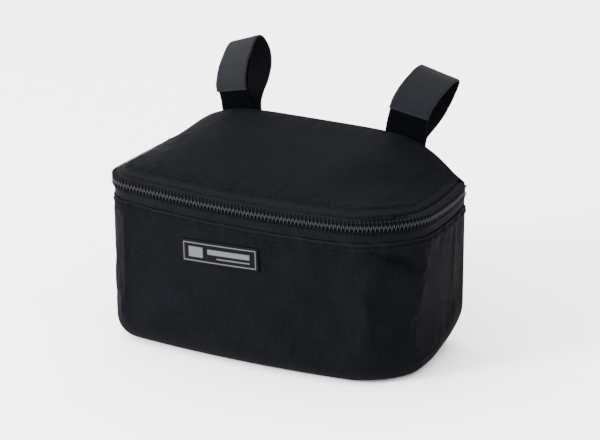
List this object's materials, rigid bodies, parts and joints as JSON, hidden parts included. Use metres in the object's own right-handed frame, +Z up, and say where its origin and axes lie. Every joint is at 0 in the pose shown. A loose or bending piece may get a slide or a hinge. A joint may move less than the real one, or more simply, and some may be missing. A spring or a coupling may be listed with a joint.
{
  "type": "bicycle handlebar bag",
  "caption": "Padded cloth handlebar bag: a rounded tub with a flat back, a domed lid closed by a coil zip, a blank rubber label and hook-and-loop strap loops behind the ridge.",
  "frame": {"origin": "middle of the flat base, under the bag's width and depth", "axes": "+Z up, -Y out of the front with the label, +Y out of the flat back that faces the bicycle, +X to the right seen from the front"},
  "size_m": [0.2318, 0.1555, 0.1916],
  "materials": {
    "padded_cloth": "dark charcoal plain-weave polyester over foam, matte",
    "base_cloth": "dark charcoal coated polyester, matte",
    "zip_tape": "black woven zip tape",
    "zip_coil": "black moulded coil, satin",
    "zip_slider": "black painted die casting",
    "label_rubber": "moulded soft rubber, blank, with a raised rim",
    "webbing": "charcoal woven webbing with lengthwise ribs",
    "pile_tape": "black loop pile tape"
  },
  "bodies": {
    "root": {"front_wrap": "padded_cloth", "base_panel": "base_cloth", "back_panel": "padded_cloth", "lid_panel": "padded_cloth", "zip_tape_lower": "zip_tape", "zip_tape_upper": "zip_tape", "zip_coil_lower": "zip_coil", "zip_coil_upper": "zip_coil", "zip_slider": "zip_slider", "label_patch": "label_rubber", "strap_left_short": "pile_tape", "strap_left_long": "webbing", "strap_right_short": "pile_tape", "strap_right_long": "webbing"}
  },
  "joints": []
}
